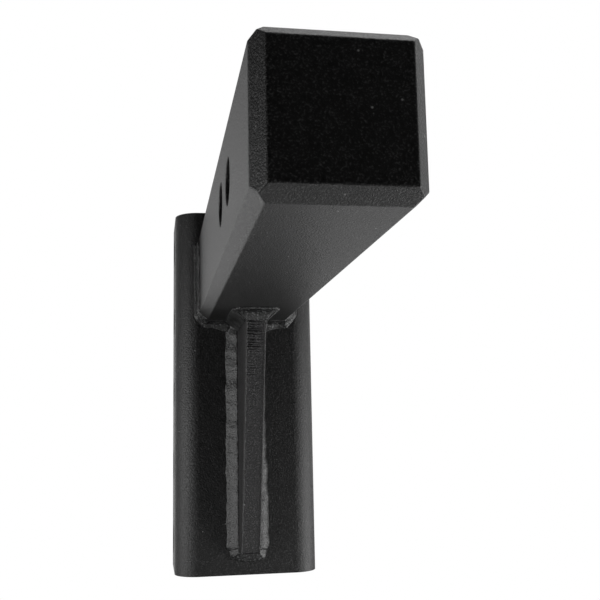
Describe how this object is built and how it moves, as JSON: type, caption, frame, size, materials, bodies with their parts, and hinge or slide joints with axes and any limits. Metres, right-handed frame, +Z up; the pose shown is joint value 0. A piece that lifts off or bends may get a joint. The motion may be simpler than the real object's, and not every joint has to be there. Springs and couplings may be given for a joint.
{
  "type": "adjustable hitch shank",
  "caption": "Square bar shank welded to an upright open-backed channel with side bolt holes, braced from below by a tapered gusset plate.",
  "frame": {"origin": "centre of the pin hole nearest the bar's tip, on the bar's axis", "axes": "+X along the pin hole, +Y along the bar from its tip to the channel, +Z up, with the gusset below the bar"},
  "size_m": [0.0762, 0.3028, 0.1956],
  "materials": {
    "powder_coat_plate": "black fine-textured satin powder coat on steel bar and plate",
    "powder_coat_weld": "black satin powder coat on rippled weld beads"
  },
  "bodies": {
    "root": {"shank_bar": "powder_coat_plate", "channel": "powder_coat_plate", "gusset_plate": "powder_coat_plate", "shank_weld_left_bar_pass": "powder_coat_weld", "shank_weld_left_web_pass": "powder_coat_weld", "shank_weld_right_bar_pass": "powder_coat_weld", "shank_weld_right_web_pass": "powder_coat_weld", "shank_weld_top_bar_pass": "powder_coat_weld", "shank_weld_top_web_pass": "powder_coat_weld", "shank_weld_bottom_left": "powder_coat_weld", "shank_weld_bottom_right": "powder_coat_weld", "gusset_nose_weld": "powder_coat_weld", "gusset_seat_weld_left": "powder_coat_weld", "gusset_seat_weld_right": "powder_coat_weld", "gusset_web_weld_left": "powder_coat_weld", "gusset_web_weld_right": "powder_coat_weld", "gusset_toe_weld": "powder_coat_weld"}
  },
  "joints": []
}
